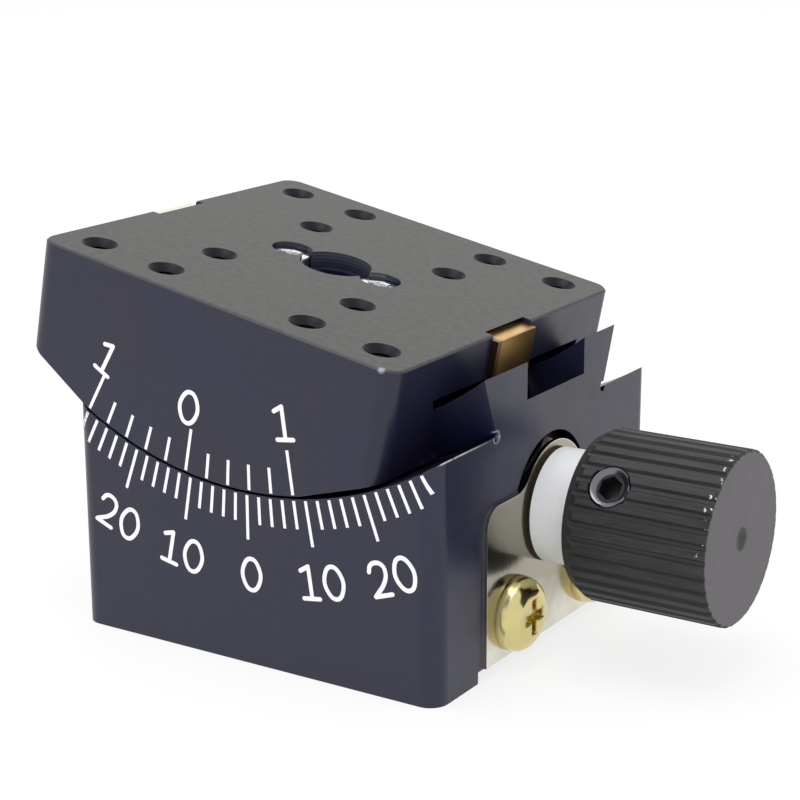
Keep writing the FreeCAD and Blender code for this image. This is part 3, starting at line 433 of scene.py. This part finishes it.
def yellow_zinc():
    """Yellow passivated zinc, with the film's greenish and golden patches and a few soft dents."""
    finish = Finish("yellow_zinc", Metallic=1.0)
    place = finish.place()
    film = finish.grain(place, 0.5)
    rounded = finish.node("ShaderNodeBevel", {"Radius": 0.5 * MM}, samples=8)
    finish.feed("Base Color", finish.colour(film.ramp(0.35, 0.65), (0.72, 0.58, 0.21), (0.62, 0.58, 0.3)))
    finish.feed("Roughness", 0.1 + finish.grain(place, 3.0) * 0.08)
    finish.bump(finish.grain(place, 0.6, 1.0), 0.12 * MM, rounded)
    return finish


def white_acetal():
    """Smooth white plastic that lets a little light through."""
    finish = Finish("white_acetal", Subsurface_Weight=0.15, Subsurface_Scale=1 * MM)
    place = finish.place()
    turning = finish.grain(finish.stretch(place, 6, 0.3, 0.3), 2.0)
    finish.feed("Base Color", finish.colour(turning, (0.83, 0.84, 0.87), (0.88, 0.89, 0.9)))
    finish.feed("Roughness", 0.3 + turning * 0.1)
    return finish


def steel(name, colour, roughness, metallic=1.0):
    """Ground or turned steel with fine lines around it."""
    finish = Finish(name, Metallic=metallic)
    place = finish.place()
    lines = finish.grain(finish.stretch(place, 5, 1, 1), 3.0)
    darker = tuple(part * 0.75 for part in colour)
    finish.feed("Base Color", finish.colour(lines, colour, darker))
    finish.feed("Roughness", roughness + lines * 0.1)
    return finish


def thread_painted_shade():
    """Black anodising in the threads, painted darker than the table as painted shade, with a dull glint on the
    crests.
    """
    finish = Finish("thread_painted_shade", IOR=1.3)
    grain = finish.grain(finish.place(), 2.5)
    finish.feed("Base Color", finish.colour(grain, (0.002, 0.0025, 0.005), (0.008, 0.009, 0.014)))
    finish.feed("Roughness", 0.3 + grain * 0.2)
    return finish


def scale_paint():
    """White paint wiped into the engraving."""
    finish = Finish("scale_paint")
    wear = finish.grain(finish.place(), 1.5)
    finish.feed("Base Color", finish.colour(wear.ramp(0.3, 0.75), (0.97, 0.97, 0.98), (0.87, 0.87, 0.91)))
    finish.feed("Roughness", 0.5 + wear * 0.1)
    return finish


def pick(*pieces):
    """Selects only these objects, with the first one active."""
    bpy.ops.object.select_all(action="DESELECT")
    for piece in pieces:
        piece.select_set(True)
    bpy.context.view_layer.objects.active = pieces[0]


def discard(piece):
    pick(piece)
    bpy.ops.object.delete()


def join(pieces):
    """Makes several objects one, and leaves it active."""
    pick(*pieces)
    bpy.ops.object.join()


def end_piece(name, finish, body):
    """Names the active object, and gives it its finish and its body."""
    piece = bpy.context.active_object
    piece.name = name
    piece.data.materials.clear()
    piece.data.materials.append(finish.material)
    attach(piece, body)
    return piece


def apply_modifier(piece, kind, **settings):
    pick(piece)
    item = piece.modifiers.new(kind.title(), kind)
    for name, value in settings.items():
        setattr(item, name, value)
    bpy.ops.object.modifier_apply(modifier=item.name)


def settle(piece):
    """Puts a piece's place into its mesh."""
    pick(piece)
    bpy.ops.object.transform_apply(location=True, rotation=True, scale=True)


def front_place(angle, radius, lean=0.0):
    """A point in front of the scale face, from an angle and radius about the tilt axis."""
    turn = math.radians(angle) - lean
    return Vector((
        TILT_AXIS.x + radius * math.sin(turn), FRONT, TILT_AXIS.z - radius * math.cos(turn)))


def scale_mark(angle, inner, outer, lean):
    """One engraved line along a radius, as a flat strip with enough cuts to follow a rounded corner."""
    bpy.ops.mesh.primitive_grid_add(
        x_subdivisions=1, y_subdivisions=MARK_CUTS, size=1,
        location=front_place(angle, (inner + outer) / 2, lean),
        rotation=(math.pi / 2, -(math.radians(angle) - lean), 0))
    mark = bpy.context.active_object
    mark.scale = (MARK_WIDTH, abs(outer - inner), 1)
    settle(mark)
    return mark


def pen_stroke(points, closed):
    """A flat line of even width with round ends, drawn by a curve through points."""
    places = [(x * DIGIT_WIDTH, y * DIGIT_HEIGHT, 0) for x, y in points]
    bpy.ops.curve.primitive_bezier_curve_add()
    line = bpy.context.active_object
    spline = line.data.splines[0]
    spline.bezier_points.add(len(places) - 2)
    for knot, place in zip(spline.bezier_points, places):
        knot.co = place
        knot.handle_left_type = knot.handle_right_type = "AUTO" if len(places) > 2 else "VECTOR"
    spline.use_cyclic_u = closed
    line.data.resolution_u = PEN_STEPS
    line.data.bevel_depth = PEN_WIDTH / 2
    line.data.bevel_resolution = PEN_SIDES
    pick(line)
    bpy.ops.object.convert(target="MESH")
    line = bpy.context.active_object

    # Only the front half of the tube is kept, and pressed flat
    bpy.ops.object.mode_set(mode="EDIT")
    bpy.ops.mesh.select_all(action="SELECT")
    bpy.ops.mesh.bisect(plane_co=(0, 0, 0), plane_no=(0, 0, 1), clear_inner=True)
    bpy.ops.mesh.select_all(action="SELECT")
    bpy.ops.transform.resize(value=(1, 1, 0), center_override=(0, 0, 0))
    bpy.ops.object.mode_set(mode="OBJECT")
    if closed:
        return [line]
    caps = []
    for place in (places[0], places[-1]):
        bpy.ops.mesh.primitive_circle_add(
            vertices=PEN_END_CORNERS, radius=PEN_WIDTH / 2, fill_type="NGON", location=place)
        cap = bpy.context.active_object
        settle(cap)
        caps.append(cap)
    return [line, *caps]


def scale_label(label, lean):
    """The strokes of a label's figures. Each figure stands along its own radius."""
    angle, radius, characters = label
    strokes = []
    for number, character in enumerate(characters):
        shift = (number - (len(characters) - 1) / 2) * DIGIT_SPACING
        own_angle = angle + math.degrees(shift / radius)
        for points, closed in DIGITS[character]:
            for stroke in pen_stroke(points, closed):
                stroke.location = front_place(own_angle, radius, lean)
                stroke.rotation_euler = (math.pi / 2, -(math.radians(own_angle) - lean), 0)
                settle(stroke)
                strokes.append(stroke)
    return strokes


def engrave(name, node, marks, body, finish):
    """Lays marks on a node's front face as films of paint, each a little prouder where they cross."""
    for number, mark in enumerate(marks):
        apply_modifier(
            mark, "SHRINKWRAP", target=NODES[node], wrap_method="PROJECT", use_project_y=True,
            use_positive_direction=True, offset=PAINT_LIFT + number % PAINT_LAYERS * PAINT_STEP)
    join(marks)
    end_piece(name, finish, body)


def add_scale(finish):
    """The base's degree scale. Its outer lines end where the face's rounded corners begin to turn."""
    marks = []
    for step in range(-SCALE_REACH, SCALE_REACH + 1, SCALE_STEP):
        end = SCALE_LONG if step % SCALE_LONG_STEP == 0 else SCALE_SHORT
        if step:
            end = min(end, MARK_LIMIT / abs(math.sin(math.radians(step))))
        marks.append(scale_mark(step, SCALE_START, end, 0.0))
    for label in SCALE_LABELS:
        marks.extend(scale_label(label, 0.0))
    engrave("degree_scale", "base_block", marks, "base", finish)


def add_vernier(finish):
    """The vernier on the table, which leans with it."""
    marks = []
    for step in range(-VERNIER_REACH, VERNIER_REACH + 1):
        end = VERNIER_LONG if step % VERNIER_REACH == 0 else VERNIER_SHORT
        marks.append(scale_mark(step * VERNIER_STEP, end, VERNIER_START, LEAN))
    for label in VERNIER_LABELS:
        marks.extend(scale_label(label, LEAN))
    engrave("vernier_scale", "stage_table", marks, "stage", finish)


def table_place(x, y):
    """A point on the table's top."""
    return TABLE_CENTRE + Vector((x * math.cos(LEAN), y, -x * math.sin(LEAN)))


def copy_of(piece, place, turn):
    """A copy with its own mesh, set at its place."""
    pick(piece)
    bpy.ops.object.duplicate(linked=False)
    copy = bpy.context.active_object
    copy.location = place
    copy.rotation_euler = turn
    settle(copy)
    return copy


def pull(drop, radius, new_radius):
    """Extrudes the selected rim down by a drop, and draws it from one radius to another."""
    bpy.ops.mesh.extrude_region_move(TRANSFORM_OT_translate={"value": (0, 0, -drop)})
    factor = new_radius / radius
    bpy.ops.transform.resize(value=(factor, factor, 1), center_override=(0, 0, 0))


def start_rim(radius, height):
    """A ring of edges about the origin, left selected in edit mode."""
    bpy.ops.object.select_all(action="DESELECT")
    bpy.ops.mesh.primitive_circle_add(vertices=RIM_CORNERS, radius=radius, location=(0, 0, 0))
    bpy.ops.object.mode_set(mode="EDIT")
    bpy.ops.mesh.select_all(action="SELECT")
    bpy.ops.transform.translate(value=(0, 0, height))


def add_table_threads(finish):
    """The countersinks and threads in the table's twelve holes, painted dark as painted shade."""
    radius = HOLE_DRILL - HOLE_SKIN
    start_rim(HOLE_MOUTH, HOLE_SKIN / 2)
    pull(HOLE_MOUTH - HOLE_DRILL, HOLE_MOUTH, radius)
    for _ in range(THREAD_TURNS):
        pull(THREAD_PITCH / 2, radius, THREAD_CREST)
        pull(THREAD_PITCH / 2, THREAD_CREST, radius)
    bpy.ops.mesh.select_all(action="SELECT")
    bpy.ops.mesh.flip_normals()
    bpy.ops.object.mode_set(mode="OBJECT")
    first = bpy.context.active_object
    bpy.ops.object.shade_smooth_by_angle(angle=math.radians(30))
    copies = [copy_of(first, table_place(x, y), (0, LEAN, 0)) for x, y in HOLE_PLACES]
    discard(first)
    join(copies)
    end_piece("table_threads", finish, "stage")


def add_cap_screws(finish):
    """The two socket cap screws that hold the sector, one made and one copied."""
    bpy.ops.object.select_all(action="DESELECT")
    height = CAP_SCREW_UNDER - CAP_SCREW_TOP
    bpy.ops.mesh.primitive_cylinder_add(
        vertices=48, radius=CAP_SCREW_HEAD, depth=height, location=(0, 0, -CAP_SCREW_TOP - height / 2))
    head = bpy.context.active_object
    settle(head)

    # The shank is drawn out of the head's underside
    bpy.ops.object.mode_set(mode="EDIT")
    bpy.ops.mesh.select_all(action="DESELECT")
    bpy.ops.object.mode_set(mode="OBJECT")
    for face in head.data.polygons:
        face.select = face.normal.z < -0.9
    bpy.ops.object.mode_set(mode="EDIT")
    bpy.ops.mesh.inset(thickness=CAP_SCREW_HEAD - CAP_SCREW_SHANK)
    bpy.ops.mesh.extrude_region_move(
        TRANSFORM_OT_translate={"value": (0, 0, CAP_SCREW_UNDER - CAP_SCREW_END)})
    bpy.ops.object.mode_set(mode="OBJECT")

    # The hexagon socket, and then the rounded edges
    bpy.ops.mesh.primitive_cylinder_add(
        vertices=6, radius=CAP_SCREW_SOCKET, depth=2 * CAP_SCREW_SOCKET_DEPTH,
        location=(0, 0, -CAP_SCREW_TOP))
    socket = bpy.context.active_object
    settle(socket)
    apply_modifier(head, "BOOLEAN", object=socket, operation="DIFFERENCE", solver="EXACT")
    discard(socket)
    apply_modifier(head, "BEVEL", width=CAP_SCREW_ROUND, segments=2, limit_method="ANGLE")
    pick(head)
    bpy.ops.object.shade_smooth_by_angle(angle=math.radians(30))
    turn = (0, LEAN, CAP_SCREW_TURN)
    copies = [copy_of(head, table_place(side * CAP_SCREW_PLACE, 0), turn) for side in (-1, 1)]
    discard(head)
    join(copies)
    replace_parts(end_piece("cap_screws", finish, "stage"), "sector_screws")


def add_grub_crown(finish):
    """The bright chamfered crown of the grub screw, at the mouth of its hole in the knob."""
    start_rim(GRUB_CROWN[0][0] * MM, 0)
    for (radius, height), (new_radius, new_height) in zip(GRUB_CROWN, GRUB_CROWN[1:]):
        pull((height - new_height) * MM, radius, new_radius)
    bpy.ops.mesh.select_all(action="SELECT")
    bpy.ops.mesh.flip_normals()
    bpy.ops.object.mode_set(mode="OBJECT")
    crown = bpy.context.active_object
    bpy.ops.object.shade_smooth_by_angle(angle=math.radians(50))
    crown.location = (
        GRUB_PLACE,
        WORM_AXIS.y + GRUB_TOP * math.cos(GRUB_ANGLE),
        WORM_AXIS.z + GRUB_TOP * math.sin(GRUB_ANGLE))
    crown.rotation_euler = (GRUB_ANGLE - math.pi / 2, 0, 0)
    settle(crown)
    end_piece("grub_screw_crown", finish, "worm_drive")


def add_camera():
    back = Vector((
        math.sin(VIEW_AZIMUTH) * math.cos(VIEW_ELEVATION),
        -math.cos(VIEW_AZIMUTH) * math.cos(VIEW_ELEVATION),
        math.sin(VIEW_ELEVATION)))
    level = Vector((math.cos(VIEW_AZIMUTH), math.sin(VIEW_AZIMUTH), 0))
    right = Matrix.Rotation(VIEW_ROLL, 3, back) @ level
    up = back.cross(right)
    bpy.ops.object.camera_add(location=VIEW_TARGET + back * VIEW_DISTANCE)
    camera = bpy.context.active_object
    camera.rotation_euler = Matrix((right, up, back)).transposed().to_euler()
    camera.data.sensor_width = SENSOR
    camera.data.lens = FOCAL_PIXELS / PHOTO_PIXELS * SENSOR
    camera.data.clip_start = 0.01
    bpy.context.scene.camera = camera


def add_lamp(name, place, power, size):
    """A soft square lamp that faces the object."""
    bpy.ops.object.light_add(type="AREA", location=place)
    lamp = bpy.context.active_object
    lamp.name = name
    lamp.rotation_euler = (VIEW_TARGET - Vector(place)).to_track_quat("-Z", "Y").to_euler()
    lamp.data.energy = power
    lamp.data.size = size


def add_studio():
    """A white floor, a white surround and two soft lamps."""
    bpy.ops.object.select_all(action="DESELECT")
    bpy.ops.mesh.primitive_circle_add(vertices=96, radius=3, fill_type="NGON", location=(0, 0, -0.02 * MM))
    floor = bpy.context.active_object
    floor.name = "studio_floor"
    paper = Finish("studio_paper", Roughness=0.9)
    paper.feed("Base Color", paper.colour(
        paper.grain(paper.place(), 0.02), (0.93, 0.93, 0.93), (0.95, 0.95, 0.95)))
    matt = Wire(paper, paper.shader.outputs["BSDF"])
    glow = paper.node("ShaderNodeEmission")
    surface = paper.node("ShaderNodeMixShader", [paper.share_seen(FLOOR_WHITE), matt, glow])
    paper.links.new(surface.socket, paper.nodes["Material Output"].inputs["Surface"])
    floor.data.materials.append(paper.material)

    world = bpy.data.worlds.new("studio")
    bpy.context.scene.world = world
    sky = Tree(world, "Background")
    sky.shader.inputs["Color"].default_value = (1, 1, 1, 1)
    sky.feed("Strength", sky.share_seen(1 - SURROUND) + SURROUND)
    for lamp in LAMPS:
        add_lamp(*lamp)


def dress():
    """Gives every CAD node its finish."""
    ground = steel("ground_steel", (0.6, 0.6, 0.6), 0.25)
    dark = steel("black_oxide", (0.02, 0.02, 0.024), 0.3, 0.5)
    bronze = steel("bronze", (0.6, 0.38, 0.16), 0.4)
    # The front bush is bronze painted dark as painted shade, for the shade it sits in
    bronze_painted_dark = steel("bronze_painted_shade", (0.06, 0.045, 0.03), 0.4)
    finishes = {
        "base_block": base_anodised(), "stage_table": table_anodised(), "knob": knob_black(),
        "worm_sector": sector_brass(), "bearing_plate": plate_nickel(), "bearing_plate_screws": yellow_zinc(),
        "spacer_washer": white_acetal(), "rear_bush": bronze, "front_bush": bronze_painted_dark,
        "knob_grub_screw": dark, "gib_screws": dark,
    }
    for name in NODES:
        coat(name, finishes.get(name, ground))


dress()
paint = scale_paint()
add_scale(paint)
add_vernier(paint)
add_table_threads(thread_painted_shade())
add_cap_screws(steel("stainless", (0.8, 0.8, 0.82), 0.12))
add_grub_crown(steel("worn_oxide", (0.2, 0.2, 0.22), 0.2))
add_camera()
add_studio()

bpy.context.scene.view_settings.view_transform = "Standard"
